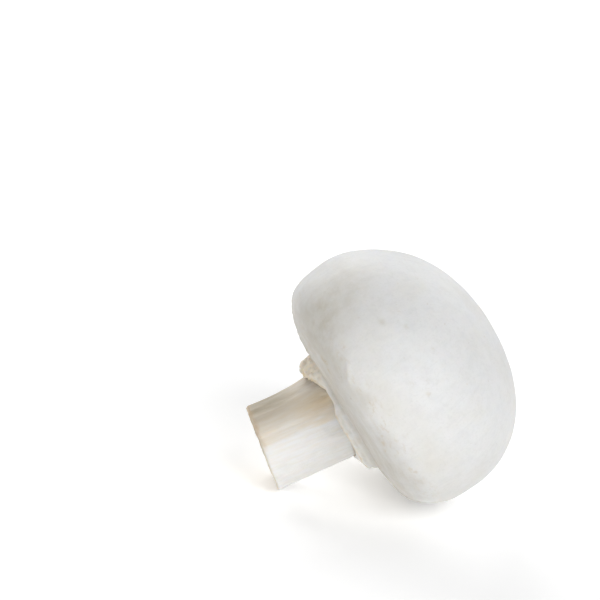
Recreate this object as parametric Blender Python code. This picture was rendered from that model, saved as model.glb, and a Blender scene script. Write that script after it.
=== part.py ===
"""Button mushroom, grown as one body, cut from its bed and lying on its side.

The body is worked out as it grew: the stem's cut end on the origin, the stem rising along +Z, the cap on
top. It is a stack of rings, from the middle of the cut face up the stem, round the torn veil under the cap,
and over the cap to its crown. It is then tipped over until the cap and the edge of the cut face both touch
the ground, pressed a little flat where it touches, and set with the middle of its footprint on the origin.

Angles round the body: 0 is the side that ends up below, 90 the far side, 180 the top, 270 the near side.
"""

import bmesh
import bpy
import numpy as np
from math import cos, pi, radians, sin
from mathutils import Matrix, Vector

MM = 0.001

# Cap: a superellipse turned round the cap's own axis, which leans away from the stem's
CAP_RADIUS = 25.15 * MM
CAP_RISE = 19.75 * MM  # from the widest ring up to the crown
CAP_DROP = 12.7 * MM  # from the widest ring down to the flat underside, on average
DROP_TILT = 0.9 * MM  # by how much further the underside hangs on the ground side
DROP_TWIST = -0.2 * MM  # and on the far side
CROWN_POWER = 2.08
CROWN_FULLNESS = 0.13  # added to the power on the ground side, taken off on the top side
CROWN_SHIFT = -0.65 * MM  # how far the crown has moved sideways, towards the top side
MARGIN_POWER = 3.5
CAP_LOBES = 0.005  # share by which three low lobes widen it
CAP_LEAN = radians(13.4)
CAP_CENTRE = Vector((-3.35 * MM, 0.0, 28.6 * MM))
UNDERSIDE_START = radians(-71.0)  # where the underside meets the veil, as an angle on the superellipse

# Low swellings and dents of the cap: direction round it, climb from the widest ring, width, height
LUMPS = (
    (333.0, -52.0, 11.0, 0.26 * MM),
    (333.0, -22.0, 11.0, -0.27 * MM),
    (335.0, 0.0, 13.0, 0.12 * MM),
    (153.0, -42.0, 12.0, -0.12 * MM),
    (155.0, -10.0, 12.0, -0.15 * MM),
    (152.0, 30.0, 16.0, -0.22 * MM),
    (153.0, 60.0, 16.0, 0.14 * MM),
    (243.0, -68.0, 17.0, -0.50 * MM),
    (333.0, -68.0, 10.0, -0.35 * MM),
    (205.0, -26.0, 16.0, -0.30 * MM),
    (250.0, 25.0, 30.0, 0.18 * MM),
    (60.0, 10.0, 24.0, -0.25 * MM),
    (100.0, 45.0, 26.0, 0.22 * MM),
    (95.0, -35.0, 18.0, -0.22 * MM),
)

# Stem
STEM_RADIUS = 8.25 * MM
STEM_WAIST = 0.014  # share by which the stem is thinner halfway up
STEM_FLARE = 0.48 * MM  # how much wider it is under the cap
STEM_LENGTH = 15.3 * MM  # cut face to veil, on average round the stem
STEM_BOW = -1.08 * MM  # how far the stem bends sideways by the time it reaches the veil
STEM_OVAL = 0.12 * MM
STEM_THREE_SIDED = 0.08 * MM
STEM_CREASES = 0.10 * MM
CUT_SLANT = radians(3.0)
CUT_EDGE_ROUND = 0.35 * MM

# Veil: the torn collar between the cap's underside and the stem
VEIL_TWIST = -0.2 * MM  # by how much further up the stem it starts on the far side
VEIL_RADIUS = 11.7 * MM
VEIL_TEAR = 0.5 * MM
VEIL_THICKNESS = 1.25 * MM
FLAP_ANGLE = radians(173.0)
FLAP_WIDTH = radians(19.0)
FLAP_HANG = 1.35 * MM  # how far it hangs down towards the cut end
GAP_ANGLE = radians(221.0)  # where a piece of the veil is missing
GAP_WIDTH = radians(15.0)
GAP_DEPTH = 1.2 * MM
CRACK_WIDTH = 0.25 * MM  # between the veil and the stem
CRACK_DEPTH = 0.5 * MM
GROOVE_DEPTH = 0.7 * MM  # between the veil and the cap

# Lying down
FLAT_DEPTH = 0.35 * MM

# Mesh
AROUND = 120
STEM_RINGS = 8
UNDERSIDE_RINGS = 9
DOME_RINGS = 12


def lump_table():
    """Middle direction, width and height of each low swelling or dent of the cap."""
    turn, climb, width, height = np.array(LUMPS).T
    turn, climb, width = np.radians([turn, climb, width])
    middle = np.stack([np.cos(climb) * np.cos(turn), np.cos(climb) * np.sin(turn), np.sin(climb)], axis=1)
    return middle, width, height


LUMP_MIDDLE, LUMP_WIDTH, LUMP_HEIGHT = lump_table()


def torn(angle):
    """Outline of torn skin, from about -1 to 1: cusped waves of three lengths."""
    wide = np.abs(np.sin(5.5 * angle + 0.7)) ** 0.7 - 0.6
    middling = np.abs(np.sin(9.5 * angle + 2.1)) ** 0.7 - 0.6
    fine = np.abs(np.sin(17.0 * angle + 1.1)) - 0.6
    return wide + 0.6 * middling + 0.4 * fine


def bell(angle, middle, width):
    """1 at the middle angle, falling to 0 on either side as a bell curve."""
    off = np.angle(np.exp(1j * (angle - middle)))
    return np.exp(-((off / width) ** 2))


def in_cap_frame(radius, height, angle):
    """Points at a radius round the cap's leaning axis and a height above its widest ring."""
    across = radius * np.cos(angle)
    return np.stack(
        [
            CAP_CENTRE.x + across * cos(CAP_LEAN) - height * sin(CAP_LEAN),
            radius * np.sin(angle),
            CAP_CENTRE.z + across * sin(CAP_LEAN) + height * cos(CAP_LEAN),
        ],
        axis=-1,
    )


def underside_height(angle):
    """Height of the flat underside from the widest ring: lowest on the ground side and the near side."""
    return -CAP_DROP - DROP_TILT * np.cos(angle) - DROP_TWIST * np.sin(angle)


def cap_ring(turn, angle):
    """Ring of the cap, where turn runs from the underside at -90 degrees to the crown at 90.

    Radius is R cos(turn)^(2/p) and height H sin(turn)^(2/p), with a power p for each half, plus lumps
    that are bell curves of the angle from each lump's middle.
    """
    if turn > 0.0:
        power, reach = CROWN_POWER + CROWN_FULLNESS * np.cos(angle), CAP_RISE
    else:
        power, reach = MARGIN_POWER, -underside_height(angle)
    radius = CAP_RADIUS * (1.0 + CAP_LOBES * np.cos(3.0 * angle + 2.0)) * abs(cos(turn)) ** (2.0 / power)
    height = reach * np.sign(turn) * abs(sin(turn)) ** (2.0 / power) + 0.0 * angle
    level = cos(turn)
    outward = np.stack([level * np.cos(angle), level * np.sin(angle), sin(turn) + 0.0 * angle], axis=-1)
    away = np.arccos(np.clip(outward @ LUMP_MIDDLE.T, -1.0, 1.0))
    swell = (np.exp(-((away / LUMP_WIDTH) ** 2)) * LUMP_HEIGHT).sum(axis=-1)
    ring = in_cap_frame(radius + swell * cos(turn), height + swell * sin(turn), angle)
    shift = CROWN_SHIFT * np.maximum(height / CAP_RISE, 0.0) ** 2
    return ring + np.stack([shift * cos(CAP_LEAN), 0.0 * shift, shift * sin(CAP_LEAN)], axis=-1)


def stem_ring(height, angle, outward=0.0):
    """Ring of the stem at a height above the cut face: waisted, oval and creased, on a bowed axis."""
    share = np.clip(height / STEM_LENGTH, 0.0, 1.0)
    radius = STEM_RADIUS * (1.0 - STEM_WAIST * np.sin(pi * share)) + STEM_FLARE * share**2
    oval = STEM_OVAL * np.cos(2.0 * angle + 1.0) + STEM_THREE_SIDED * np.cos(3.0 * angle + 0.4)
    creases = STEM_CREASES * np.sin(11.0 * angle + 0.9) * np.sin(5.0 * angle + 2.2)
    radius = radius + oval + creases + outward
    bow = STEM_BOW * share**2
    return np.stack([bow + radius * np.cos(angle), radius * np.sin(angle), height + 0.0 * angle], axis=-1)


def cut_ring(share, angle, outward=0.0, lift=0.0):
    """Ring of the cut face, at a share of the stem's radius, on a plane that slants across the stem."""
    ring = stem_ring(0.0, angle, outward) * (share, share, 1.0)
    ring[..., 2] = lift + ring[..., 1] * np.tan(CUT_SLANT)
    return ring


def veil_foot(angle):
    """Height on the stem at which the veil begins."""
    return STEM_LENGTH + VEIL_TWIST * np.sin(angle) - FLAP_HANG * bell(angle, FLAP_ANGLE, FLAP_WIDTH)


def stem_rings(angle):
    """Rings of the stem's side from the slanted cut edge, levelling out to the foot of the veil."""
    rings = []
    for share in np.linspace(0.0, 1.0, STEM_RINGS + 1)[1:]:
        ring = stem_ring(share * veil_foot(angle), angle)
        ring[..., 2] += (1.0 - share) ** 2 * ring[..., 1] * np.tan(CUT_SLANT)
        rings.append(ring)
    return rings


def veil_rings(angle):
    """Rings round the torn veil: up the crack beside the stem, over its lower face, and back to the cap."""
    loose = bell(angle, FLAP_ANGLE, FLAP_WIDTH)
    gap = bell(angle, GAP_ANGLE, GAP_WIDTH)
    rag = torn(angle) * (0.35 + 1.25 * loose)
    foot = veil_foot(angle)
    tip = VEIL_RADIUS + VEIL_TEAR * rag - GAP_DEPTH * gap
    thickness = VEIL_THICKNESS * (1.0 - gap)
    level = underside_height(angle)
    hang = level - FLAP_HANG * loose
    return [
        stem_ring(foot + CRACK_DEPTH, angle, -0.05 * MM),
        stem_ring(foot + CRACK_DEPTH + 0.1 * MM, angle, 0.5 * CRACK_WIDTH),
        stem_ring(foot + CRACK_DEPTH, angle, CRACK_WIDTH),
        stem_ring(foot + 0.25 * MM, angle, CRACK_WIDTH),
        stem_ring(foot, angle, CRACK_WIDTH + 0.3 * MM),
        in_cap_frame(0.45 * STEM_RADIUS + 0.55 * tip, hang - thickness, angle),
        in_cap_frame(tip - 0.4 * MM, hang - 0.8 * thickness + 0.3 * VEIL_TEAR * rag, angle),
        in_cap_frame(tip, hang - 0.3 * MM + 0.3 * FLAP_HANG * loose, angle),
        in_cap_frame(tip + 0.3 * MM, level + 0.1 * MM - 0.3 * FLAP_HANG * loose, angle),
        in_cap_frame(tip + 0.6 * MM, level + GROOVE_DEPTH, angle),
    ]


def body_rings():
    """All rings in order, from the middle of the cut face to just under the crown."""
    angle = np.linspace(0.0, 2.0 * pi, AROUND, endpoint=False)
    cut = [
        cut_ring(0.5, angle),
        cut_ring(1.0, angle, outward=-CUT_EDGE_ROUND),
        cut_ring(1.0, angle, lift=CUT_EDGE_ROUND),
    ]
    below = np.linspace(UNDERSIDE_START, 0.0, UNDERSIDE_RINGS)
    above = np.linspace(0.0, 0.5 * pi, DOME_RINGS + 2)[1:-1]
    cap = [cap_ring(turn, angle) for turn in (*below, *above)]
    return cut + stem_rings(angle) + veil_rings(angle) + cap


def skin(rings):
    """A closed mesh: the first ring filled, each next one extruded from it, the last drawn to a point."""
    mesh = bmesh.new()
    first = bmesh.ops.create_circle(mesh, cap_ends=True, radius=1.0, segments=AROUND)
    ring = list(first["verts"])
    for vert, place in zip(ring, rings[0]):
        vert.co = place
    edges = [mesh.edges.get((ring[i - 1], ring[i])) for i in range(AROUND)]
    for places in rings[1:]:
        extruded = bmesh.ops.extrude_edge_only(mesh, edges=edges)["geom"]
        new = {item for item in extruded if isinstance(item, bmesh.types.BMVert)}
        ring = [next(edge.other_vert(v) for edge in v.link_edges if edge.other_vert(v) in new) for v in ring]
        for vert, place in zip(ring, places):
            vert.co = place
        edges = [mesh.edges.get((ring[i - 1], ring[i])) for i in range(AROUND)]
    crown = bmesh.ops.edgeloop_fill(mesh, edges=edges)["faces"]
    middle = bmesh.ops.poke(mesh, faces=crown)["verts"][0]
    middle.co = Vector(cap_ring(0.5 * pi, np.zeros(1))[0])
    bmesh.ops.recalc_face_normals(mesh, faces=mesh.faces)
    return mesh


def lowest(rings, tip):
    return min((tip @ Vector(place)).z for ring in rings for place in ring)


def lying(rings):
    """The turn about Y that brings the cap and the cut edge down to one level, by halving the range."""
    upright, flat = radians(40.0), radians(85.0)
    for _ in range(40):
        middle = 0.5 * (upright + flat)
        tip = Matrix.Rotation(middle, 3, "Y")
        if lowest(rings[-DOME_RINGS - UNDERSIDE_RINGS :], tip) > lowest(rings[:4], tip):
            upright = middle
        else:
            flat = middle
    return Matrix.Rotation(0.5 * (upright + flat), 4, "Y")


def lay_down(mesh, rings):
    """Tips the body over, slices it flat where it rests, and centres its footprint on the origin."""
    bmesh.ops.transform(mesh, matrix=lying(rings), verts=mesh.verts)
    ground = min(v.co.z for v in mesh.verts) + FLAT_DEPTH
    parts = list(mesh.verts) + list(mesh.edges) + list(mesh.faces)
    cut = bmesh.ops.bisect_plane(
        mesh, geom=parts, dist=1e-7, plane_co=(0, 0, ground), plane_no=(0, 0, 1), clear_inner=True
    )["geom_cut"]
    rims = [item for item in cut if isinstance(item, bmesh.types.BMEdge)]
    bmesh.ops.holes_fill(mesh, edges=rims, sides=0)
    bmesh.ops.recalc_face_normals(mesh, faces=mesh.faces)
    low, high = [Vector(pick(v.co[i] for v in mesh.verts) for i in range(3)) for pick in (min, max)]
    middle = 0.5 * (low + high)
    bmesh.ops.translate(mesh, verts=mesh.verts, vec=(-middle.x, -middle.y, -ground))


def flesh_material():
    material = bpy.data.materials.new("mushroom_flesh")
    material.use_nodes = True
    shader = material.node_tree.nodes["Principled BSDF"]
    shader.inputs["Base Color"].default_value = (0.80, 0.78, 0.73, 1.0)
    shader.inputs["Roughness"].default_value = 0.55
    shader.inputs["Metallic"].default_value = 0.0
    return material


def main():
    for old in list(bpy.data.objects):
        bpy.data.objects.remove(old)
    rings = body_rings()
    mesh = skin(rings)
    lay_down(mesh, rings)
    data = bpy.data.meshes.new("mushroom")
    mesh.to_mesh(data)
    mesh.free()
    data.materials.append(flesh_material())
    data.shade_smooth()
    data.set_sharp_from_angle(angle=radians(50.0))
    bpy.context.scene.collection.objects.link(bpy.data.objects.new("mushroom", data))


main()
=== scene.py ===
"""Looks of the button mushroom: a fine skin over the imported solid, its material, floor, lights and camera.

The skin is worked out as the mushroom grew, with the stem's cut end on the origin, the stem along +Z and the
cap on top, and is then laid on its side as the solid is. Round the body, angle 0 is the side that ends up
below, 90 degrees the far side, 180 the top and 270 the near side. Lengths are in metres.
"""

from math import cos, pi, radians, sin, tan

import bpy
import numpy as np
from mathutils import Matrix, Vector

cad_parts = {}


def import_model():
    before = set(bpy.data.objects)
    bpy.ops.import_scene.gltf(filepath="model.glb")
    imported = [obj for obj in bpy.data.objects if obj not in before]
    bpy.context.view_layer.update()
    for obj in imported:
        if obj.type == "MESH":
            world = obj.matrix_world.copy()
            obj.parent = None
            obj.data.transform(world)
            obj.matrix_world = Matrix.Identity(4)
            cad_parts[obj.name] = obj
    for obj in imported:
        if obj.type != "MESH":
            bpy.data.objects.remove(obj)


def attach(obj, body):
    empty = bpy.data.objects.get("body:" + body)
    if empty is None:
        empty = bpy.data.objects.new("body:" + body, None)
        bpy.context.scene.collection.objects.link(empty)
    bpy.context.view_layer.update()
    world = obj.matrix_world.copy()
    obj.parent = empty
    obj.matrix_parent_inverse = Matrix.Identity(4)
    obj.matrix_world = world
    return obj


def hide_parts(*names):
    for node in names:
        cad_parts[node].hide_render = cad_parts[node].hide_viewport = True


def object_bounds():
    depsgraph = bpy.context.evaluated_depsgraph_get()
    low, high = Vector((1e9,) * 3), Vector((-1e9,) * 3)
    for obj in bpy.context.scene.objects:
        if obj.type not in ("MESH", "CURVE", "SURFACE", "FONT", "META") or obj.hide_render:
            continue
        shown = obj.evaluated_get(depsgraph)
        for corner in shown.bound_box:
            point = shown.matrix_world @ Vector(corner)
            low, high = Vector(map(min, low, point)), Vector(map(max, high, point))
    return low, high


MM = 0.001

# Cap: a superellipse turned round its own axis, which leans away from the stem's
CAP_RADIUS = 25.15 * MM
CAP_RISE = 19.75 * MM  # from the widest ring up to the crown
CAP_DROP = 12.7 * MM  # from the widest ring down to the flat underside, on average
DROP_TILT = 0.9 * MM  # by how much further the underside hangs on the ground side
DROP_TWIST = -0.2 * MM  # and on the far side
CROWN_POWER = 2.08
CROWN_FULLNESS = 0.13  # added to the power on the ground side, taken off on the top side
CROWN_SHIFT = -0.65 * MM  # how far the crown has moved sideways, towards the top side
MARGIN_POWER = 3.5
CAP_LOBES = 0.005  # share by which three low lobes widen it
CAP_LEAN = radians(13.4)
CAP_CENTRE = Vector((-3.35 * MM, 0.0, 28.6 * MM))
UNDERSIDE_START = radians(-71.0)  # where the underside meets the veil, as an angle on the superellipse

# Low swellings and dents of the cap, in degrees and metres: direction round it, climb from the widest ring,
# width, height
LUMPS = (
    (333.0, -52.0, 11.0, 0.26 * MM),
    (333.0, -22.0, 11.0, -0.27 * MM),
    (335.0, 0.0, 13.0, 0.12 * MM),
    (153.0, -42.0, 12.0, -0.12 * MM),
    (155.0, -10.0, 12.0, -0.15 * MM),
    (152.0, 30.0, 16.0, -0.22 * MM),
    (153.0, 60.0, 16.0, 0.14 * MM),
    (243.0, -68.0, 17.0, -0.50 * MM),
    (333.0, -68.0, 10.0, -0.35 * MM),
    (205.0, -26.0, 16.0, -0.30 * MM),
    (250.0, 25.0, 30.0, 0.18 * MM),
    (60.0, 10.0, 24.0, -0.25 * MM),
    (100.0, 45.0, 26.0, 0.22 * MM),
    (95.0, -35.0, 18.0, -0.22 * MM),
)

# Bruised patches, some of them painted shade, and cream and spotted patches of its skin, in degrees:
# direction round it, climb, width, strength
BRUISES_AND_SHADE = (
    # The first three rows are mostly painted shade, where the top side turns away from the light, with some
    # bruising
    (202.0, -14.0, 15.0, 0.75),
    (196.0, 8.0, 15.0, 0.32),
    (208.0, -34.0, 12.0, 0.50),
    (312.0, 10.0, 17.0, 0.20),
    (328.0, -16.0, 15.0, 0.24),
    (228.0, -30.0, 10.0, 0.40),
    (222.0, 9.0, 1.5, 0.50),
    (229.0, 18.0, 1.2, 0.45),
    (40.0, -8.0, 15.0, 0.65),
    (95.0, 22.0, 14.0, 0.50),
    (140.0, -20.0, 12.0, 0.65),
    (115.0, -38.0, 14.0, 0.50),
)
CREAMS = (
    (252.0, -12.0, 9.0, 0.08),
    (285.0, -9.0, 12.0, 0.20),
    (186.0, 12.0, 11.0, 0.30),
    (310.0, 50.0, 16.0, 0.20),
    (70.0, 40.0, 18.0, 0.55),
    (120.0, -5.0, 14.0, 0.65),
)
SPOTS = (
    (219.0, -39.0, 1.3, 0.9),
    (222.5, -43.0, 1.2, 0.9),
    (216.0, -41.0, 1.4, 0.6),
    (222.0, -20.0, 2.0, 0.35),
    (221.5, -13.0, 1.8, 0.35),
    (262.0, -30.0, 1.5, 0.5),
    (266.0, -34.0, 1.8, 0.6),
    (271.0, -37.0, 1.5, 0.6),
    (253.0, 10.0, 1.0, 0.30),
    (257.5, 7.0, 1.1, 0.30),
    (250.0, 3.0, 1.0, 0.25),
    (75.0, 12.0, 1.5, 0.6),
    (102.0, 30.0, 1.2, 0.5),
    (128.0, 6.0, 1.6, 0.5),
    (350.0, 30.0, 1.4, 0.5),
)

# A short fold that slants across its margin, as a chain of swellings with the same values as in LUMPS
FOLD = tuple((228.0 + 0.75 * step, -17.0 - 1.25 * step, 1.4, 0.17 * MM) for step in range(9))

# Stem
STEM_RADIUS = 8.25 * MM
STEM_WAIST = 0.014  # share by which the stem is thinner halfway up
STEM_FLARE = 0.48 * MM  # how much wider it is under the cap
STEM_LENGTH = 15.3 * MM  # cut face to veil, on average round the stem
STEM_BOW = -1.08 * MM  # how far the stem bends sideways by the time it reaches the veil
STEM_OVAL = 0.12 * MM
STEM_THREE_SIDED = 0.08 * MM
STEM_CREASES = 0.10 * MM
CUT_SLANT = radians(3.0)
CUT_EDGE_ROUND = 0.35 * MM
KNIFE_ANGLE = radians(35.0)  # of the knife's ridges across the cut
FAN_START = 0.55  # share of its length from which its fibres fan out under the veil
# The tan over the top of the stem is partly a real stain and partly painted shade on its upper side
TAN_BAND_START = radians(60.0), radians(130.0)  # between these the tan fades in, up the far side
TAN_BAND_EDGE = radians(245.0)  # where the tan ends on the near side, by the cut
TAN_BAND_SPREAD = radians(5.0)  # by how much further down it ends under the veil
TAN_BAND_RAG = radians(6.0)  # by how much its strands run over that edge
TAN_BAND_FADE = 0.13, 0.08  # over this many radians above and below the edge it fades out
STREAK_ANGLE = radians(206.0)  # where its darkest streak runs, by the cut
STREAK_SLANT = radians(20.0)  # by how much further down the streak is under the veil

# Veil: the torn collar between the cap's underside and the stem
VEIL_TWIST = -0.2 * MM  # by how much further up the stem it starts on the far side
VEIL_RADIUS = 11.7 * MM
VEIL_TEAR = 0.5 * MM
VEIL_THICKNESS = 1.25 * MM
FLAP_ANGLE = radians(173.0)
FLAP_WIDTH = radians(19.0)
FLAP_HANG = 1.35 * MM  # how far it hangs down towards the cut end
GAP_ANGLE = radians(221.0)  # where a piece of the veil is missing
GAP_WIDTH = radians(15.0)
GAP_DEPTH = 1.2 * MM
CRACK_WIDTH = 0.25 * MM  # between the veil and the stem
CRACK_DEPTH = 0.5 * MM
GROOVE_DEPTH = 0.7 * MM  # between the veil and the cap

# Lying down
FLAT_DEPTH = 0.35 * MM  # by how much it is pressed flat where it touches the ground
TIP_RANGE = radians(40.0), radians(85.0)  # the turn that lays it down is somewhere between these
TIP_HALVINGS = 40

# Fineness of the skin: steps round the body, and rows along each stretch of it
AROUND = 420
FACE_ROWS = 13
FACE_CROWDING = 0.9  # power by which the cut face's rows crowd towards its rim
STEM_ROWS = 40
VEIL_ROWS = 44
CAP_ROWS = 140
CUT_EDGE_ROWS = 4  # rows of the stem that count as the cut's edge when it is laid down
THREAD_RADIUS = 20.0 * MM  # of the tube on which fibres of the cap are laid out

# Camera: the body turned, seen from above, and the picture turned clockwise
TURN = radians(18.0)
CLIMB = radians(20.0)
TILT = radians(9.15)
DISTANCE = 450.0 * MM
FIELD = 112.3 * MM  # width of the view at the body's middle
RIGHT_OF_MIDDLE = 15.85 * MM
BELOW_MIDDLE = 13.75 * MM
SENSOR_WIDTH = 36.0  # in millimetres, as Blender has it

# Studio
FLOOR_REACH = 3.0  # from its middle to each side
FLOOR_GLOW = 0.24
WORLD_STRENGTH = 0.01
SOFTBOX_SIDE = 0.6
SOFTBOX_DISTANCE = 0.9

# Softboxes: name, degrees to the camera's right, climb in degrees, power in watts
SOFTBOXES = (
    ("key", 34.0, 38.0, 5.3),
    ("left_fill", -38.0, 34.0, 1.9),
    ("back_left", -150.0, 33.0, 5.4),
    ("back_right", 150.0, 29.0, 2.9),
)


# ---------------------------------------------------------------- growth


def cloud(place, cell, seed):
    """Smooth random values from -1 to 1 in space.

    Random numbers at the corners of cubes of the cell size, blended inside each by 3t^2 - 2t^3. A cell of
    three sizes stretches the pattern. Each use has a seed of its own.
    """
    table = np.random.default_rng(seed).uniform(-1.0, 1.0, (32, 32, 32))
    at = place / np.asarray(cell)
    corner = np.floor(at).astype(int)
    t = at - corner
    t = t * t * (3.0 - 2.0 * t)
    total = 0.0
    for step in np.ndindex(2, 2, 2):
        weight = np.prod(np.where(np.array(step) == 1, t, 1.0 - t), axis=-1)
        i, j, k = np.moveaxis((corner + step) % 32, -1, 0)
        total = total + weight * table[i, j, k]
    return total


def bell(angle, middle, width):
    """1 at the middle angle, falling to 0 on either side as a bell curve."""
    off = np.angle(np.exp(1j * (angle - middle)))
    return np.exp(-((off / width) ** 2))


def ease(value, start, end):
    """0 before start and 1 after end, joined by 3t^2 - 2t^3."""
    t = np.clip((value - start) / (end - start), 0.0, 1.0)
    return t * t * (3.0 - 2.0 * t)


def patches(table, turn, angle):
    """Sum of round patches on the cap: each a bell curve of the angle from its middle direction.

    A row of the table gives the patch's direction round the cap, its climb, its width and its strength.
    """
    around, climb, width, strength = np.array(table).T
    around, climb, width = np.radians([around, climb, width])
    middle = np.stack([np.cos(climb) * np.cos(around), np.cos(climb) * np.sin(around), np.sin(climb)])
    level = np.cos(turn)
    here = np.stack([level * np.cos(angle), level * np.sin(angle), np.sin(turn) + 0.0 * angle], axis=-1)
    away = np.arccos(np.clip(here @ middle, -1.0, 1.0))
    return (np.exp(-((away / width) ** 2)) * strength).sum(axis=-1)


def torn(angle):
    """Outline of torn skin, from about -1 to 1: cusped waves of three lengths."""
    wide = np.abs(np.sin(5.5 * angle + 0.7)) ** 0.7 - 0.6
    middling = np.abs(np.sin(9.5 * angle + 2.1)) ** 0.7 - 0.6
    fine = np.abs(np.sin(17.0 * angle + 1.1)) - 0.6
    return wide + 0.6 * middling + 0.4 * fine


def in_cap_frame(radius, height, angle):
    """Points at a radius round the cap's leaning axis and a height above its widest ring."""
    across = radius * np.cos(angle)
    return np.stack(
        [
            CAP_CENTRE.x + across * cos(CAP_LEAN) - height * sin(CAP_LEAN),
            radius * np.sin(angle),
            CAP_CENTRE.z + across * sin(CAP_LEAN) + height * cos(CAP_LEAN),
        ],
        axis=-1,
    )


def underside_height(angle):
    """Height of the flat underside from the widest ring: lowest on the ground side and the near side."""
    return -CAP_DROP - DROP_TILT * np.cos(angle) - DROP_TWIST * np.sin(angle)


def cap_surface(turn, angle):
    """Cap, where turn runs from the underside at -90 degrees to the crown at 90.

    Radius is R cos(turn)^(2/p) and height H sin(turn)^(2/p), with a power p for each half, plus lumps that
    are bell curves of the angle from each lump's middle. The upper half moves sideways as height squared.
    """
    upper = turn > 0.0
    power = np.where(upper, CROWN_POWER + CROWN_FULLNESS * np.cos(angle), MARGIN_POWER)
    reach = np.where(upper, CAP_RISE, -underside_height(angle))
    level = np.maximum(np.cos(turn), 0.0)
    steep = np.abs(np.sin(turn))
    radius = CAP_RADIUS * (1.0 + CAP_LOBES * np.cos(3.0 * angle + 2.0)) * level ** (2.0 / power)
    height = reach * np.sign(turn) * steep ** (2.0 / power)
    swell = patches(LUMPS, turn, angle)
    place = in_cap_frame(radius + swell * np.cos(turn), height + swell * np.sin(turn), angle)
    shift = CROWN_SHIFT * np.maximum(height / CAP_RISE, 0.0) ** 2
    return place + np.stack([shift * cos(CAP_LEAN), 0.0 * shift, shift * sin(CAP_LEAN)], axis=-1)


def stem_surface(height, angle, outward=0.0):
    """Stem at a height above the cut face, on an axis that bows as height squared.

    Its radius is a waist of half a sine wave and a flare that grows as height squared, plus sine waves round
    it that make it oval, three-sided and creased, and a distance outward.
    """
    share = np.clip(height / STEM_LENGTH, 0.0, 1.0)
    radius = STEM_RADIUS * (1.0 - STEM_WAIST * np.sin(pi * share)) + STEM_FLARE * share**2
    oval = STEM_OVAL * np.cos(2.0 * angle + 1.0) + STEM_THREE_SIDED * np.cos(3.0 * angle + 0.4)
    creases = STEM_CREASES * np.sin(11.0 * angle + 0.9) * np.sin(5.0 * angle + 2.2)
    radius = radius + oval + creases + outward
    bow = STEM_BOW * share**2
    return np.stack([bow + radius * np.cos(angle), radius * np.sin(angle), height + 0.0 * radius], axis=-1)


def veil_foot(angle):
    """Height on the stem at which the veil begins."""
    return STEM_LENGTH + VEIL_TWIST * np.sin(angle) - FLAP_HANG * bell(angle, FLAP_ANGLE, FLAP_WIDTH)


def veil_rings(angle):
    """Rings that guide the veil, at steps outward from the stem and then at radii round the cap's axis.

    They run into the crack beside the stem, out over the lower face, round the rim, whose radius and hang
    carry the torn waves, the loose flap and the gap, and back to the cap.
    """
    loose = bell(angle, FLAP_ANGLE, FLAP_WIDTH)
    rag = torn(angle) * (0.35 + 1.25 * loose)
    foot = veil_foot(angle)
    gap = bell(angle, GAP_ANGLE, GAP_WIDTH)
    tip = VEIL_RADIUS + VEIL_TEAR * rag - GAP_DEPTH * gap
    thickness = VEIL_THICKNESS * (1.0 - gap)
    level = underside_height(angle)
    hang = level - FLAP_HANG * loose
    return [
        stem_surface(foot + CRACK_DEPTH, angle, -0.05 * MM),
        stem_surface(foot + CRACK_DEPTH + 0.1 * MM, angle, 0.5 * CRACK_WIDTH),
        stem_surface(foot + CRACK_DEPTH, angle, CRACK_WIDTH),
        stem_surface(foot + 0.25 * MM, angle, CRACK_WIDTH),
        stem_surface(foot, angle, CRACK_WIDTH + 0.3 * MM),
        in_cap_frame(0.45 * STEM_RADIUS + 0.55 * tip, hang - thickness, angle),
        in_cap_frame(tip - 0.4 * MM, hang - 0.8 * thickness + 0.3 * VEIL_TEAR * rag, angle),
        in_cap_frame(tip, hang - 0.3 * MM + 0.3 * FLAP_HANG * loose, angle),
        in_cap_frame(tip + 0.3 * MM, level + 0.1 * MM - 0.3 * FLAP_HANG * loose, angle),
        in_cap_frame(tip + 0.6 * MM, level + GROOVE_DEPTH, angle),
    ]


def through(rings, rows):
    """A surface through the rings: Catmull-Rom curves from ring to ring, with that many rows in all."""
    guide = np.stack([rings[0], *rings, rings[-1]])
    at = np.linspace(0.0, len(rings) - 1.0, rows)
    i = np.minimum(at.astype(int), len(rings) - 2)
    t = (at - i)[:, None, None]
    before, start, end, after = guide[i], guide[i + 1], guide[i + 2], guide[i + 3]
    return 0.5 * (
        2.0 * start
        + (end - before) * t
        + (2.0 * before - 5.0 * start + 4.0 * end - after) * t**2
        + (3.0 * start - before - 3.0 * end + after) * t**3
    )


def cut_face(angle):
    """Cut face: shares of the stem's edge, on a plane that slants across the stem."""
    share = np.linspace(0.0, 1.0, FACE_ROWS + 1)[1:, None] ** FACE_CROWDING
    face = stem_surface(0.0 * angle, angle, -CUT_EDGE_ROUND) * share[..., None]
    face[..., 2] = face[..., 1] * tan(CUT_SLANT)
    return face, share + 0.0 * angle


def stem_side(angle):
    """Stem from its rounded cut edge to the veil: the slant of the cut fades as (1 - share) squared."""
    share = np.linspace(0.0, 1.0, STEM_ROWS)[:, None]
    height = CUT_EDGE_ROUND + share * (veil_foot(angle) - CUT_EDGE_ROUND)
    side = stem_surface(height, angle)
    side[..., 2] += (1.0 - share) ** 2 * side[..., 1] * tan(CUT_SLANT)
    return side, share + 0.0 * angle


def veil(angle):
    """Torn veil, from the crack beside the stem to the groove under the cap."""
    share = np.linspace(0.0, 1.0, VEIL_ROWS)[:, None]
    return through(veil_rings(angle[0]), VEIL_ROWS), share + 0.0 * angle


def cap(angle):
    """Cap from the groove beside the veil, round the margin, to just short of the crown."""
    lower = CAP_ROWS * 2 // 5  # rows below the widest ring
    turn = np.concatenate(
        [
            np.linspace(UNDERSIDE_START, 0.0, lower, endpoint=False),
            np.linspace(0.0, 0.5 * pi, CAP_ROWS - lower, endpoint=False),
        ]
    )[:, None]
    return cap_surface(turn + 0.0 * angle, angle), turn + 0.0 * angle


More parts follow.
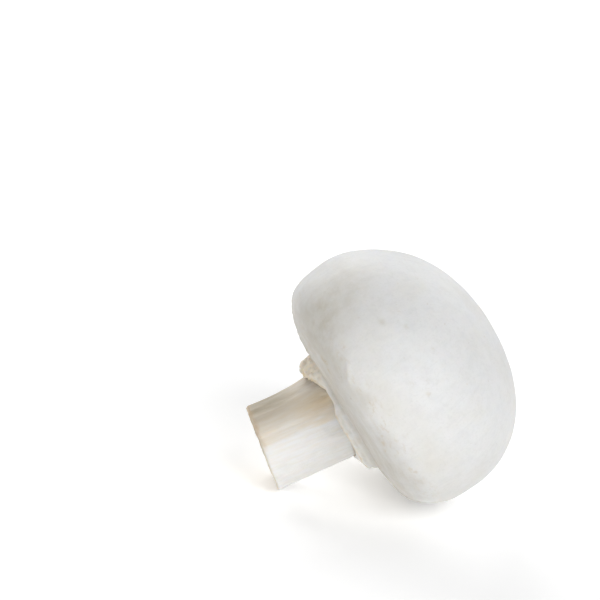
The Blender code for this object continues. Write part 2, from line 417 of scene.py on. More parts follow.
def normals(points):
    """Outward unit normals of rows of points that close on themselves: the cross product of both steps."""
    across = np.roll(points, -1, axis=1) - np.roll(points, 1, axis=1)
    along = np.gradient(points, axis=0)
    normal = np.cross(across, along)
    return normal / np.maximum(np.linalg.norm(normal, axis=-1, keepdims=True), 1e-12)


def turned(place, angle):
    """The places turned about Z."""
    return place @ np.array(Matrix.Rotation(angle, 3, "Z")).T


def crest(value, sharpness):
    """Thin raised lines where a value crosses zero: (1 - |value|) to the power of the sharpness."""
    return np.clip(1.0 - np.abs(value), 0.0, 1.0) ** sharpness


def run_along(points):
    """Length along the surface from the first row, as the sum of the steps from row to row."""
    steps = np.linalg.norm(np.diff(points, axis=0), axis=-1)
    return np.concatenate([np.zeros((1, points.shape[1])), np.cumsum(steps, axis=0)])


def on_tube(radius, angle, along):
    """Places on a straight tube round the body, at an angle round it and a length along it."""
    across = radius * np.cos(angle) + 0.0 * along
    aside = radius * np.sin(angle) + 0.0 * along
    return np.stack([across, aside, along], axis=-1)


def silk(points, angle, radius):
    """Places on a tube round the body: the angle at a fixed radius, and the length along the surface.

    Noise that is squeezed along the third value becomes fibres that run from the crown to the margin.
    """
    return on_tube(radius, angle, run_along(points))


def rise(place):
    """Height above the cap's flat underside: the place turned back by the cap's lean, from its centre."""
    aside = place[..., 0] - CAP_CENTRE.x
    up = place[..., 2] - CAP_CENTRE.z
    height = up * cos(CAP_LEAN) - aside * sin(CAP_LEAN)
    angle = np.arctan2(place[..., 1], aside * cos(CAP_LEAN) + up * sin(CAP_LEAN))
    return height - underside_height(angle)


def face_relief(place, share):
    """Knife streaks across the cut, a rough torn patch in its middle, and a lip round the edge."""
    streaks = 0.05 * MM * cloud(turned(place, KNIFE_ANGLE), (0.45 * MM, 6.0 * MM, 9.0 * MM), 21)
    torn_edge = 0.9 * cloud(place, 3.0 * MM, 22) + 0.5 * cloud(place, 1.2 * MM, 26)
    pith = ease(torn_edge + 1.4 - 3.0 * share, 0.0, 0.6)
    rough = 0.30 * MM * cloud(place, 1.1 * MM, 23) + 0.12 * MM * cloud(place, 0.5 * MM, 24)
    lip = 0.10 * MM * ease(share, 0.86, 0.96) * (1.0 + cloud(place, 1.6 * MM, 25))
    return streaks + pith * rough + lip, pith


def stem_relief(place, share):
    """Fibres along the stem, of three widths, with raised strands where they fan out under the veil."""
    coarse = cloud(place, (1.6 * MM, 1.6 * MM, 11.0 * MM), 31)
    middling = cloud(place, (0.7 * MM, 0.7 * MM, 6.0 * MM), 32)
    fine = cloud(place, (0.33 * MM, 0.33 * MM, 2.6 * MM), 33)
    strands = crest(2.2 * cloud(place, (0.9 * MM, 0.9 * MM, 4.0 * MM), 34), 3.0)
    fan = ease(share, FAN_START, 1.0)
    return (0.08 * coarse + 0.04 * middling + 0.02 * fine + fan * (0.10 * strands + 0.04 * middling)) * MM


def veil_relief(place, share, angle):
    """Swollen lower lip, wrinkles across and along it, and shreds on its torn rim and its loose flap."""
    loose = bell(angle, FLAP_ANGLE, 1.2 * FLAP_WIDTH)
    rim = ease(share, 0.35, 0.6) * (1.0 - ease(share, 0.85, 1.0))
    wrinkles = 0.07 * cloud(place, 1.3 * MM, 41) + 0.06 * cloud(place, 0.6 * MM, 42)
    tube = on_tube(VEIL_RADIUS, angle, place[..., 2])
    folds = 0.13 * cloud(tube, (2.6 * MM, 2.6 * MM, 0.5 * MM), 44)
    shreds = cloud(place, (0.45 * MM, 0.45 * MM, 1.2 * MM), 43)
    return (wrinkles + folds * rim + 0.20 * rim * (0.3 + 2.2 * loose) * shreds) * MM


def cap_relief(place, thread, turn, angle, above):
    """Pillowy unevenness, silky fibres, and wrinkles and low folds that run round the margin."""
    soft = 0.09 * cloud(place, 6.0 * MM, 51) + 0.05 * cloud(place, 2.8 * MM, 52)
    fine = 0.015 * cloud(place, 0.9 * MM, 53)
    fibres = 0.014 * cloud(thread, (0.5 * MM, 0.5 * MM, 4.0 * MM), 56) * (1.0 - ease(turn, 0.9, 1.3))
    near_margin = 1.0 - ease(above, 2.5 * MM, 6.5 * MM)
    wrinkles = 0.07 * cloud(thread, (2.6 * MM, 2.6 * MM, 0.55 * MM), 57)
    folds = 0.13 * crest(3.0 * cloud(thread, (6.0 * MM, 6.0 * MM, 1.7 * MM), 58), 3.0)
    patchy = ease(cloud(place, 5.0 * MM, 59), -0.2, 0.3)
    shreds = (1.0 - ease(above, 0.0, 1.2 * MM)) * 0.10 * cloud(place, (0.6 * MM, 0.6 * MM, 1.2 * MM), 55)
    uneven = soft + fine + fibres + near_margin * (wrinkles + folds * patchy) + shreds
    return uneven * MM + patches(FOLD, turn, angle)


def tipping(points):
    """The turn about Y that brings the cap and the cut's edge down to one level, by halving the range."""
    cap_points = points[-CAP_ROWS:].reshape(-1, 3)
    stem_points = points[: FACE_ROWS + CUT_EDGE_ROWS].reshape(-1, 3)
    upright, flat = TIP_RANGE
    for _ in range(TIP_HALVINGS):
        middle = 0.5 * (upright + flat)
        down = np.array([-sin(middle), 0.0, cos(middle)])
        if (cap_points @ down).min() > (stem_points @ down).min():
            upright = middle
        else:
            flat = middle
    return Matrix.Rotation(middle, 3, "Y")


def lay_down(points, smooth):
    """The points tipped over, pressed flat where they touch the ground, and centred as the solid is.

    The turn and the place come from the smooth body, before its fine relief.
    """
    tip = np.array(tipping(smooth)).T
    guide = smooth.reshape(-1, 3) @ tip
    low = guide.min(axis=0)
    high = guide.max(axis=0)
    laid = points @ tip - (*(0.5 * (low + high)[:2]), low[2] + FLAT_DEPTH)
    laid[:, 2] = np.maximum(laid[:, 2], 0.0)
    return laid


def growth():
    """The whole body: smooth places, the same with their relief, and what each point is, as named values.

    The relief moves each point along its normal. Places are in the grown frame.
    """
    angle = np.linspace(0.0, 2.0 * pi, AROUND, endpoint=False)[None, :]
    face, face_share = cut_face(angle)
    side, side_share = stem_side(angle)
    ring, ring_share = veil(angle)
    dome, turn = cap(angle)
    smooth = np.concatenate([face, side, ring, dome])
    thread = silk(dome, angle, THREAD_RADIUS)
    above = rise(dome)
    bump, pith = face_relief(face, face_share)
    relief = np.concatenate(
        [
            bump,
            stem_relief(side, side_share),
            veil_relief(ring, ring_share, angle),
            cap_relief(dome, thread, turn, angle, above),
        ]
    )
    grown = smooth + relief[..., None] * normals(smooth)
    blank = {"face": 0.0 * face_share, "side": 0.0 * side_share, "ring": 0.0 * ring_share, "dome": 0.0 * turn}

    def over(**given):
        """One value over the whole body, from its values on some stretches of it, and 0 on the others."""
        return np.concatenate([given.get(stretch, zeros) for stretch, zeros in blank.items()])

    values = {
        "cut": over(face=blank["face"] + 1.0),
        "stem": over(side=blank["side"] + 1.0),
        "veil": over(ring=blank["ring"] + 1.0),
        "pith": over(face=pith),
        "rim": over(face=cut_rim(face_share, angle), side=cut_edge(side, side_share, angle)),
        # tan over the top of the stem: partly a real stain, partly painted shade
        "stain_and_shade": over(side=stem_tan_stain_and_shade(side, side_share, angle)),
        # painted shade along the top of the stem
        "shade": over(side=stem_painted_shade(side, side_share, angle)),
        # where the fibres fan out; their creases get painted shade
        "fan": over(side=ease(side_share, FAN_START, 1.0)),
        # painted shade in the crack between the stem and the veil
        "crack": over(side=ease(side_share, 0.985, 1.0), ring=bell_line(ring_share, 0.12, 0.16)),
        "lip": over(ring=torn_lip(ring, ring_share)),
        "flap": over(ring=flap_zone(ring_share, angle)),
        # painted shade, with some brown stain, in the groove between the veil and the cap
        "groove": over(ring=bell_line(ring_share, 1.0, 0.12), dome=bell_line(turn, UNDERSIDE_START, 0.1)),
        # grey-brown margin: partly its own tint, partly painted shade beside the veil
        "margin": over(dome=margin_band_and_shade(dome, above)),
        # painted shade: a dark line where the margin meets the veil
        "edge": over(dome=margin_shade_line(above, angle)),
        "silky": over(dome=1.0 - 0.8 * ease(turn, 0.2, 1.0)),
        "cream": over(dome=cream_zone(dome, above, angle) + patches(CREAMS, turn, angle)),
        # bruises, and painted shade on the top side
        "bruise_and_shade": over(dome=patches(BRUISES_AND_SHADE, turn, angle)),
        "fleck": over(dome=fleck_zone(above, angle)),
        "spot": over(dome=patches(SPOTS, turn, angle)),
        "thread": np.concatenate([face, side, silk(ring, angle, VEIL_RADIUS), thread]),
    }
    return smooth, grown, values


def bell_line(share, middle, width):
    """1 along a line at the middle share, falling to 0 on either side as a bell curve."""
    return np.exp(-(((share - middle) / width) ** 2))


def rim_reach(angle):
    """How brown the cut's edge is round the stem: hardly at all low on the near side."""
    return np.clip(1.0 - 1.5 * bell(angle, radians(300.0), radians(60.0)), 0.0, 1.0)


def cut_rim(share, angle):
    """Brown rim of the cut face, over the last tenth of its radius."""
    return ease(share, 0.90, 0.99) * rim_reach(angle)


def cut_edge(place, share, angle):
    """Brown edge of the cut on the stem's side, as a thin uneven line."""
    width = 0.040 + 0.025 * cloud(place, 1.2 * MM, 62)
    return (1.0 - ease(share, 0.3 * width, width)) * rim_reach(angle)


def stem_tan_stain_and_shade(place, share, angle):
    """Tan over the top of the stem, partly stained and partly painted shade on its upper side: fuzzy strands
    at its lower edge, a dark streak under the veil.
    """
    wide = cloud(place, (0.8 * MM, 0.8 * MM, 7.0 * MM), 61)
    narrow = cloud(place, (0.4 * MM, 0.4 * MM, 4.0 * MM), 63)
    strands = wide + 0.6 * narrow
    edge = TAN_BAND_EDGE + TAN_BAND_SPREAD * ease(share, 0.4, 1.0) + TAN_BAND_RAG * strands
    over_edge, under_edge = TAN_BAND_FADE
    band = (1.0 - ease(angle, edge - over_edge, edge + under_edge)) * ease(angle, *TAN_BAND_START)
    # Paler near its lower edge, a third of the way along, and again under the veil, where the paler tan is
    # painted light against the shade of the cap and veil
    paler = 1.0 - 0.35 * bell_line(share, 0.35, 0.25) * bell(angle, radians(235.0), radians(14.0))
    paler = paler * (1.0 - 0.4 * ease(share, 0.75, 1.0) * ease(angle, radians(222.0), radians(240.0)))
    streak = bell(angle, STREAK_ANGLE + STREAK_SLANT * share, radians(14.0)) * bell_line(share, 0.84, 0.27)
    mottled = strands + 0.5 * cloud(place, 1.2 * MM, 68)
    return np.clip(0.40 * band * paler + 0.42 * streak * (1.0 + 0.2 * mottled), 0.0, 1.0)


def stem_painted_shade(place, share, angle):
    """Painted shade: a grey-tan darkening along the top of the stem, towards the cut."""
    top = bell(angle, radians(178.0), radians(34.0)) * (1.0 - 0.75 * ease(share, 0.25, 0.80))
    return np.clip(top * (1.0 + 0.25 * cloud(place, (1.2 * MM, 1.2 * MM, 5.0 * MM), 64)), 0.0, 1.0)


def torn_lip(place, share):
    """Browned lower lip of the veil, beside the stem: an uneven, broken line."""
    uneven = 0.04 * cloud(place, 0.8 * MM, 45)
    return bell_line(share + uneven, 0.60, 0.05) * ease(cloud(place, 1.1 * MM, 46), -0.7, 0.2)


def flap_zone(share, angle):
    """The loose flap, which has browned all over, and whose buff is painted lighter than the skin as painted
    light against the shade it hangs in.
    """
    return bell(angle, FLAP_ANGLE + radians(10.0), 1.4 * FLAP_WIDTH) * ease(share, 0.2, 0.5)


def margin_band_and_shade(place, above):
    """Grey-brown band round the cap's margin, fading out over a few millimetres with a patchy border: partly
    the skin's own tint, partly painted shade that is darkest beside the veil.
    """
    uneven = 1.0 * MM * cloud(place, 4.0 * MM, 65) + 0.4 * MM * cloud(place, 1.5 * MM, 66)
    inner = 1.0 - ease(above + uneven, 1.2 * MM, 4.0 * MM)
    outer = 1.0 - ease(above + 1.5 * uneven, 3.0 * MM, 6.8 * MM)
    return 0.4 * inner + 0.6 * outer


def margin_shade_line(above, angle):
    """Painted shade: a dark line where the margin meets the veil, lost where a piece of the veil is missing.
    """
    return (1.0 - ease(above, 0.3 * MM, 1.6 * MM)) * (1.0 - 0.9 * bell(angle, GAP_ANGLE, radians(24.0)))


def cream_zone(place, above, angle):
    """Cream cast beyond the margin band, strongest on the near side towards the ground."""
    band = ease(above, 3.0 * MM, 6.0 * MM) * (1.0 - ease(above, 9.0 * MM, 15.0 * MM))
    side = 0.30 + 0.30 * bell(angle, radians(285.0), radians(45.0))
    return band * side * (0.6 + 0.5 * cloud(place, 4.5 * MM, 67))


def fleck_zone(above, angle):
    """Where tan flecks gather: along the inner border of the margin band, and under the flap."""
    chain = bell_line(above, 5.6 * MM, 1.6 * MM) * (0.3 + 0.7 * bell(angle, radians(270.0), radians(35.0)))
    by_flap = bell(angle, radians(196.0), radians(18.0)) * (1.0 - ease(above, 1.0 * MM, 4.0 * MM))
    return np.clip(chain + by_flap, 0.0, 1.0)


# ---------------------------------------------------------------- mesh


def closed_skin(name, rows, around, points, values):
    """A closed mesh over rows of points round the body, with named values per point.

    Four neighbours make each face, and a fan of triangles closes each end round one of the last two points.
    """
    here = np.arange(rows * around).reshape(rows, around)
    right = np.roll(here, -1, axis=1)
    quads = np.stack([here[:-1], right[:-1], right[1:], here[1:]], axis=-1).reshape(-1, 4)
    bottom = np.stack([np.full(around, rows * around), right[0], here[0]], axis=-1)
    top = np.stack([np.full(around, rows * around + 1), here[-1], right[-1]], axis=-1)
    mesh = bpy.data.meshes.new(name)
    mesh.from_pydata(points.tolist(), [], quads.tolist() + bottom.tolist() + top.tolist())
    for label, value in values.items():
        kind, key = ("FLOAT_VECTOR", "vector") if value.ndim == 2 else ("FLOAT", "value")
        mesh.attributes.new(label, kind, "POINT").data.foreach_set(key, value.astype(np.float32).ravel())
    mesh.shade_smooth()
    skin = bpy.data.objects.new(name, mesh)
    bpy.context.scene.collection.objects.link(skin)
    return skin


def with_ends(rows):
    """Rows of values as one list, with the means of the first and the last row added for the two ends."""
    flat = rows.reshape(-1, *rows.shape[2:])
    return np.concatenate([flat, rows[0].mean(axis=0)[None], rows[-1].mean(axis=0)[None]])


def mushroom_skin():
    """The mushroom's one skin: the grown body, with its crown on the cap's axis, laid down."""
    smooth, grown, values = growth()
    ends = with_ends(grown)
    crown = cap_surface(np.full((1, 1), 0.5 * pi), np.zeros((1, 1)))[0, 0]
    ends[-1] = crown + (ends[-1] - with_ends(smooth)[-1])
    points = lay_down(ends, smooth)
    labels = {label: with_ends(value) for label, value in values.items()}
    labels["grown"] = ends
    skin = closed_skin("mushroom_skin", grown.shape[0], AROUND, points, labels)
    skin.data.materials.append(flesh())
    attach(skin, "root")
    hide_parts("mushroom")


# ---------------------------------------------------------------- materials


class Paint:
    """Short forms for the nodes of one material."""

    def __init__(self, name):
        self.material = bpy.data.materials.new(name)
        self.material.use_nodes = True
        self.tree = self.material.node_tree
        self.shader = self.tree.nodes["Principled BSDF"]

    def put(self, socket, value):
        """Links another node's output to the socket, or sets the socket to a plain value."""
        if isinstance(value, bpy.types.NodeSocket):
            self.tree.links.new(value, socket)
        else:
            socket.default_value = value

    def value(self, label):
        """A named value of the skin."""
        node = self.tree.nodes.new("ShaderNodeAttribute")
        node.attribute_name = label
        return node.outputs["Fac"]

    def place(self, label, stretch, shift):
        """Places in the grown frame or on the thread tube, squeezed by the stretch and moved by the shift.

        The shift differs along each axis, so that two noises of one size don't repeat each other.
        """
        node = self.tree.nodes.new("ShaderNodeAttribute")
        node.attribute_name = label
        mapping = self.tree.nodes.new("ShaderNodeMapping")
        mapping.inputs["Scale"].default_value = stretch
        mapping.inputs["Location"].default_value = (shift, 0.7 * shift, 0.4 * shift)
        self.tree.links.new(node.outputs["Vector"], mapping.inputs["Vector"])
        return mapping.outputs["Vector"]

    def noise(self, size, detail=3.0, roughness=0.55, stretch=(1.0, 1.0, 1.0), label="grown", shift=0.0):
        """Noise from 0 to 1 with features of about that size in metres."""
        node = self.tree.nodes.new("ShaderNodeTexNoise")
        node.inputs["Scale"].default_value = 1.0 / size
        node.inputs["Detail"].default_value = detail
        node.inputs["Roughness"].default_value = roughness
        self.tree.links.new(self.place(label, stretch, shift), node.inputs["Vector"])
        return node.outputs["Fac"]

    def math(self, operation, first, second):
        """Two numbers joined by one of the Math node's operations."""
        node = self.tree.nodes.new("ShaderNodeMath")
        node.operation = operation
        self.put(node.inputs[0], first)
        self.put(node.inputs[1], second)
        return node.outputs[0]

    def times(self, first, second):
        """The first number times the second."""
        return self.math("MULTIPLY", first, second)

    def plus(self, first, second):
        """The first number and the second added."""
        return self.math("ADD", first, second)

    def span(self, value, low, high, to_low=0.0, to_high=1.0):
        """The value from low to high, eased onto to_low to to_high."""
        node = self.tree.nodes.new("ShaderNodeMapRange")
        node.interpolation_type = "SMOOTHSTEP"
        for socket, number in zip(node.inputs, (value, low, high, to_low, to_high)):
            self.put(socket, number)
        return node.outputs[0]

    def blend(self, amount, under, over):
        """The colour over laid on the colour under by the amount."""
        node = self.tree.nodes.new("ShaderNodeMix")
        node.data_type = "RGBA"
        self.put(node.inputs["Factor"], amount)
        # A and B for colours are the node's seventh and eighth inputs, and their blend its third output
        self.put(node.inputs[6], under)
        self.put(node.inputs[7], over)
        return node.outputs[2]


SKIN_WHITE = (0.81, 0.815, 0.815, 1.0)
SKIN_GREY = (0.65, 0.655, 0.65, 1.0)
SKIN_CREAM = (0.735, 0.695, 0.59, 1.0)
# grey-brown of the margin, partly painted shade
MARGIN_GREY_AND_SHADE = (0.52, 0.48, 0.40, 1.0)
# painted shade for the line beside the veil, and painted shade with some brown stain in the groove
SHADE_AND_STAIN_BROWN = (0.42, 0.37, 0.29, 1.0)
# grey of the bruises and of the painted shade on the top side
BRUISE_AND_SHADE_GREY = (0.55, 0.51, 0.42, 1.0)
FLECK_TAN = (0.58, 0.49, 0.34, 1.0)
SPECK_BROWN = (0.42, 0.34, 0.24, 1.0)
STEM_WHITE = (0.85, 0.85, 0.845, 1.0)
STEM_CREAM = (0.80, 0.75, 0.65, 1.0)
# the stem's tan: partly a real stain, partly painted shade
STEM_TAN_STAIN_AND_SHADE = (0.76, 0.61, 0.40, 1.0)
# painted shade on the stem: along its top, and in the creases where its fibres fan out
PAINTED_SHADE_GREY_TAN = (0.39, 0.335, 0.24, 1.0)
VEIL_GREY = (0.76, 0.735, 0.68, 1.0)
# buff of the flap, lighter than the skin as painted light against its shade
VEIL_BUFF_AND_PAINTED_LIGHT = (0.92, 0.83, 0.69, 1.0)
LIP_TAN = (0.72, 0.56, 0.33, 1.0)
CUT_BEIGE = (0.66, 0.57, 0.43, 1.0)
PITH_WHITE = (0.85, 0.82, 0.76, 1.0)
RIM_BROWN = (0.55, 0.43, 0.29, 1.0)
# painted shade in the crack between the stem and the veil
CRACK_SHADE_BROWN = (0.45, 0.34, 0.22, 1.0)
FLOOR_WHITE = (0.93, 0.93, 0.93, 1.0)
LAMP_WHITE = (1.0, 1.0, 1.0, 1.0)

# Stretches of the noise
ALONG = (1.0, 1.0, 0.10)  # fibres along the stem, or from crown to margin
AROUND_IT = (0.22, 0.22, 1.0)  # wrinkles that run round the body
BROAD = (0.6, 0.6, 1.0)  # flecks a little wider round the body than along it
KNIFE_WAY = (1.0, 0.15, 1.0)  # streaks across the cut face


def cap_colour(paint):
    """White skin: cream and grey clouds, fine mottling, silky fibres, a grey-brown margin that is partly
    painted shade, a line of painted shade beside the veil, bruising with patches of painted shade, and tan
    flecks.
    """
    # Clouds
    cream = paint.span(paint.noise(8.0 * MM, 2.0), 0.48, 0.72, 0.0, 0.18)
    colour = paint.blend(cream, SKIN_WHITE, SKIN_CREAM)
    grey = paint.span(paint.noise(6.0 * MM, 3.0, shift=0.3), 0.45, 0.75, 0.0, 0.16)
    colour = paint.blend(grey, colour, SKIN_GREY)
    # Fine mottling and fibres
    mottle = paint.span(paint.noise(1.6 * MM, 5.0, 0.65), 0.42, 0.72, 0.0, 0.22)
    colour = paint.blend(mottle, colour, SKIN_GREY)
    fine_mottle = paint.span(paint.noise(0.5 * MM, 5.0, 0.75, shift=0.1), 0.48, 0.70, 0.0, 0.28)
    colour = paint.blend(fine_mottle, colour, SKIN_GREY)
    fibres = paint.span(paint.noise(0.55 * MM, 4.0, 0.6, ALONG, "thread"), 0.48, 0.75, 0.0, 0.16)
    colour = paint.blend(paint.times(paint.value("silky"), fibres), colour, SKIN_GREY)
    # Margin and bruises, with painted shade beside the veil and on the top side
    colour = paint.blend(paint.times(paint.value("cream"), 0.55), colour, SKIN_CREAM)
    # The margin band: partly its own grey-brown, partly painted shade beside the veil
    wrinkles = paint.noise(1.1 * MM, 5.0, 0.65, AROUND_IT, "thread")
    band = paint.span(wrinkles, 0.30, 0.65, 0.48, 0.72)
    colour = paint.blend(paint.times(paint.value("margin"), band), colour, MARGIN_GREY_AND_SHADE)
    # Painted shade: a dark line where the margin meets the veil
    line = paint.span(wrinkles, 0.30, 0.65, 0.05, 0.40)
    colour = paint.blend(paint.times(paint.value("edge"), line), colour, SHADE_AND_STAIN_BROWN)
    # Bruises, and painted shade where the top side turns away from the light
    bruises = paint.span(paint.noise(2.5 * MM, 5.0, 0.65, shift=0.6), 0.35, 0.65, 0.60, 1.0)
    colour = paint.blend(paint.times(paint.value("bruise_and_shade"), bruises), colour, BRUISE_AND_SHADE_GREY)
    # Flecks, specks and spots
    flecks = paint.span(paint.noise(1.0 * MM, 5.0, 0.65, BROAD, "thread"), 0.50, 0.70)
    flecks = paint.times(flecks, paint.value("fleck"))
    colour = paint.blend(paint.times(flecks, 0.55), colour, FLECK_TAN)
    stray = paint.span(paint.noise(0.7 * MM, 2.0, shift=0.2), 0.64, 0.76)
    stray = paint.times(stray, paint.span(paint.noise(6.0 * MM), 0.5, 0.62))
    colour = paint.blend(paint.times(stray, 0.2), colour, FLECK_TAN)
    specks = paint.span(paint.noise(1.3 * MM, 2.0, shift=0.5), 0.72, 0.86)
    colour = paint.blend(paint.times(specks, 0.45), colour, SPECK_BROWN)
    spots = paint.span(paint.noise(0.6 * MM, 3.0), 0.35, 0.60)
    return paint.blend(paint.times(paint.value("spot"), spots), colour, FLECK_TAN)


def veil_colour(paint):
    """Grey-white torn skin, browned along its torn lip and on the loose flap, whose buff is painted lighter
    than the skin as painted light against its shade.
    """
    grey = paint.span(paint.noise(1.4 * MM, 4.0), 0.35, 0.70, 0.4, 1.0)
    colour = paint.blend(grey, SKIN_WHITE, VEIL_GREY)
    # Painted light: the flap's buff is lighter than the skin, against the shade it hangs in
    patchy = paint.span(paint.noise(0.8 * MM, 4.0, 0.65), 0.30, 0.60, 0.35, 1.0)
    colour = paint.blend(paint.times(paint.value("flap"), patchy), colour, VEIL_BUFF_AND_PAINTED_LIGHT)
    dark = paint.span(paint.noise(0.6 * MM, 3.0, shift=0.4), 0.56, 0.68, 0.0, 0.4)
    colour = paint.blend(paint.times(paint.value("flap"), dark), colour, FLECK_TAN)
    lip = paint.times(patchy, 0.7)
    return paint.blend(paint.times(paint.value("lip"), lip), colour, LIP_TAN)


def stem_colour(paint, fibres):
    """White fibres with cream between them, the tan over the top, partly stained and partly painted shade,
    breaking up along them, and grey-tan painted shade in the fanning creases and along the top.
    """
    colour = paint.blend(paint.span(fibres, 0.35, 0.70, 0.0, 0.40), STEM_WHITE, STEM_CREAM)
    grey = paint.span(paint.noise(3.0 * MM, 3.0), 0.5, 0.8, 0.0, 0.3)
    colour = paint.blend(grey, colour, SKIN_GREY)
    # Tan over the top, partly a real stain and partly painted shade
    stain_and_shade = paint.span(fibres, 0.28, 0.62, 0.88, 1.08)
    colour = paint.blend(paint.times(paint.value("stain_and_shade"), stain_and_shade), colour, STEM_TAN_STAIN_AND_SHADE)
    # Painted shade in the creases where the fibres fan out under the veil
    creases = paint.span(paint.noise(0.7 * MM, 3.0, stretch=ALONG, shift=0.2), 0.45, 0.75, 0.0, 0.16)
    colour = paint.blend(paint.times(paint.value("fan"), creases), colour, PAINTED_SHADE_GREY_TAN)
    # Painted shade along the top of the stem, in grey-tan
    shade = paint.span(paint.noise(1.0 * MM, 3.0, stretch=ALONG), 0.3, 0.7, 0.84, 1.0)
    return paint.blend(paint.times(paint.value("shade"), shade), colour, PAINTED_SHADE_GREY_TAN)


def cut_colour(paint):
    """Beige cut with knife streaks and a white torn middle."""
    streaks = paint.span(paint.noise(0.6 * MM, 4.0, 0.6, KNIFE_WAY), 0.3, 0.7, 0.0, 0.8)
    colour = paint.blend(streaks, CUT_BEIGE, STEM_CREAM)
    cream = paint.span(paint.noise(2.5 * MM, 4.0), 0.45, 0.75, 0.0, 0.5)
    colour = paint.blend(cream, colour, STEM_CREAM)
    rough = paint.span(paint.noise(0.9 * MM, 4.0, 0.65), 0.35, 0.60, 0.35, 1.0)
    return paint.blend(paint.times(paint.value("pith"), rough), colour, PITH_WHITE)


def fine_grain(paint, fibres):
    """Bump of the skin's nap, of the fibres of the stem and the cap, and of the wrinkles of the margin."""
    grain = paint.plus(paint.noise(0.35 * MM, 4.0, 0.65), paint.times(fibres, paint.value("stem")))
    silky = paint.noise(0.4 * MM, 3.0, 0.6, ALONG, "thread")
    grain = paint.plus(grain, paint.times(silky, 0.7))
    wrinkles = paint.noise(0.9 * MM, 4.0, 0.6, AROUND_IT, "thread")
    grain = paint.plus(grain, paint.times(paint.value("margin"), wrinkles))
    bump = paint.tree.nodes.new("ShaderNodeBump")
    paint.put(bump.inputs["Strength"], 0.45)
    paint.put(bump.inputs["Distance"], 0.06 * MM)
    paint.put(bump.inputs["Height"], grain)
    return bump.outputs["Normal"]


def flesh():
    """Skin and flesh with a soft shine: each zone's colour laid over the last where the skin's values say,
    with painted shade in the crack and the groove.
    """
    paint = Paint("mushroom_flesh")
    fibres = paint.noise(0.5 * MM, 4.0, 0.6, ALONG)
    colour = paint.blend(paint.value("veil"), cap_colour(paint), veil_colour(paint))
    colour = paint.blend(paint.value("stem"), colour, stem_colour(paint, fibres))
    colour = paint.blend(paint.value("cut"), colour, cut_colour(paint))
    rim = paint.span(paint.noise(0.8 * MM), 0.3, 0.6, 0.4, 0.8)
    colour = paint.blend(paint.times(paint.value("rim"), rim), colour, RIM_BROWN)
    # Painted shade in the crack between the stem and the veil
    colour = paint.blend(paint.times(paint.value("crack"), 0.55), colour, CRACK_SHADE_BROWN)
    # Painted shade, with some brown stain, in the groove between the veil and the cap
    colour = paint.blend(paint.times(paint.value("groove"), 0.25), colour, SHADE_AND_STAIN_BROWN)
    dullness = paint.span(paint.noise(1.2 * MM, 3.0), 0.3, 0.7, 0.50, 0.66)
    paint.put(paint.shader.inputs["Base Color"], colour)
    paint.put(paint.shader.inputs["Roughness"], dullness)
    paint.put(paint.shader.inputs["Specular IOR Level"], 0.35)
    paint.put(paint.shader.inputs["Subsurface Weight"], 0.30)
    paint.put(paint.shader.inputs["Subsurface Radius"], (1.0, 0.75, 0.5))
    paint.put(paint.shader.inputs["Subsurface Scale"], 2.0 * MM)
    paint.put(paint.shader.inputs["Normal"], fine_grain(paint, fibres))
    return paint.material


def floor_white():
    """Matt white floor with a faint glow, as under a bright sweep."""
    paint = Paint("floor_white")
    paint.put(paint.shader.inputs["Base Color"], FLOOR_WHITE)
    paint.put(paint.shader.inputs["Roughness"], 0.9)
    paint.put(paint.shader.inputs["Specular IOR Level"], 0.0)
    paint.put(paint.shader.inputs["Emission Color"], LAMP_WHITE)
    paint.put(paint.shader.inputs["Emission Strength"], FLOOR_GLOW)
    return paint.material


# ---------------------------------------------------------------- studio


def floor():
    """A square white floor at height 0, that reaches as far to all four sides."""
    far = FLOOR_REACH
    corners = [(-far, -far, 0), (far, -far, 0), (far, far, 0), (-far, far, 0)]
    mesh = bpy.data.meshes.new("floor")
    mesh.from_pydata(corners, [], [(0, 1, 2, 3)])
    mesh.materials.append(floor_white())
    ground = bpy.data.objects.new("floor", mesh)
    bpy.context.scene.collection.objects.link(ground)


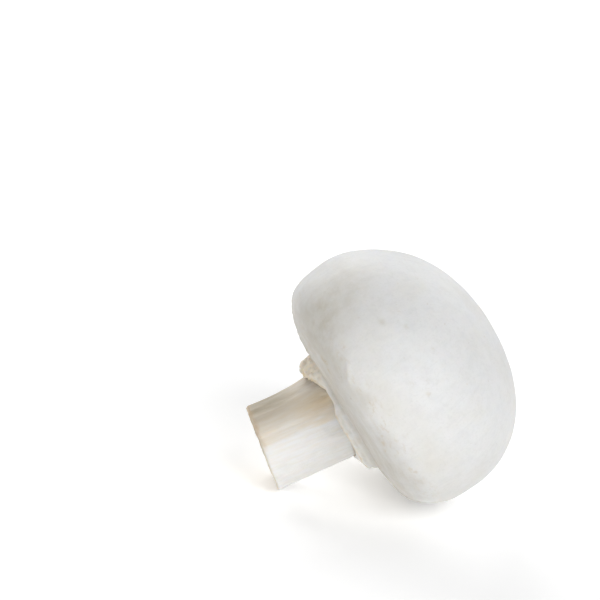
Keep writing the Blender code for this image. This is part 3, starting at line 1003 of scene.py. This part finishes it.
def camera_axes():
    """The camera's right, up and back directions: back leads from the body to the camera."""
    back = Vector((-sin(TURN) * cos(CLIMB), -cos(TURN) * cos(CLIMB), sin(CLIMB)))
    level = Vector((cos(TURN), -sin(TURN), 0.0))
    above = back.cross(level)
    return level * cos(TILT) + above * sin(TILT), above * cos(TILT) - level * sin(TILT), back


def camera(middle):
    """Camera at the named distance, aimed so that the body's middle is right of and below the view's."""
    right, up, back = camera_axes()
    place = middle + DISTANCE * back
    aim = middle - RIGHT_OF_MIDDLE * right + BELOW_MIDDLE * up
    back = (place - aim).normalized()
    right = up.cross(back).normalized()
    turn = Matrix((right, back.cross(right), back)).transposed()
    eye = bpy.data.objects.new("camera", bpy.data.cameras.new("camera"))
    eye.matrix_world = Matrix.Translation(place) @ turn.to_4x4()
    eye.data.sensor_width = SENSOR_WIDTH
    eye.data.lens = SENSOR_WIDTH * DISTANCE / FIELD
    bpy.context.scene.collection.objects.link(eye)
    bpy.context.scene.camera = eye


def softbox(name, middle, aside, climb, power):
    """A square softbox that faces the body, turned by degrees to the camera's right and raised by degrees."""
    front = Vector((-sin(TURN), -cos(TURN), 0.0))
    right = Vector((cos(TURN), -sin(TURN), 0.0))
    level = front * cos(radians(aside)) + right * sin(radians(aside))
    direction = level * cos(radians(climb)) + Vector((0.0, 0.0, sin(radians(climb))))
    lamp = bpy.data.lights.new(name, "AREA")
    lamp.size = SOFTBOX_SIDE
    lamp.energy = power
    holder = bpy.data.objects.new(name, lamp)
    holder.location = middle + direction * SOFTBOX_DISTANCE
    holder.rotation_euler = direction.to_track_quat("Z", "Y").to_euler()
    bpy.context.scene.collection.objects.link(holder)


def lights(middle):
    """The softboxes, and a very faint white light from all round."""
    world = bpy.data.worlds.new("studio")
    world.use_nodes = True
    background = world.node_tree.nodes["Background"]
    background.inputs["Color"].default_value = LAMP_WHITE
    background.inputs["Strength"].default_value = WORLD_STRENGTH
    bpy.context.scene.world = world
    for name, aside, climb, power in SOFTBOXES:
        softbox(name, middle, aside, climb, power)


def main():
    """The frame, the mushroom and the studio round it, with the sizes of the solid and of the skin kept."""
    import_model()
    cad_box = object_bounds()
    mushroom_skin()
    floor()
    middle = 0.5 * (cad_box[0] + cad_box[1])
    camera(middle)
    lights(middle)
    bpy.context.scene.view_settings.view_transform = "Standard"


main()
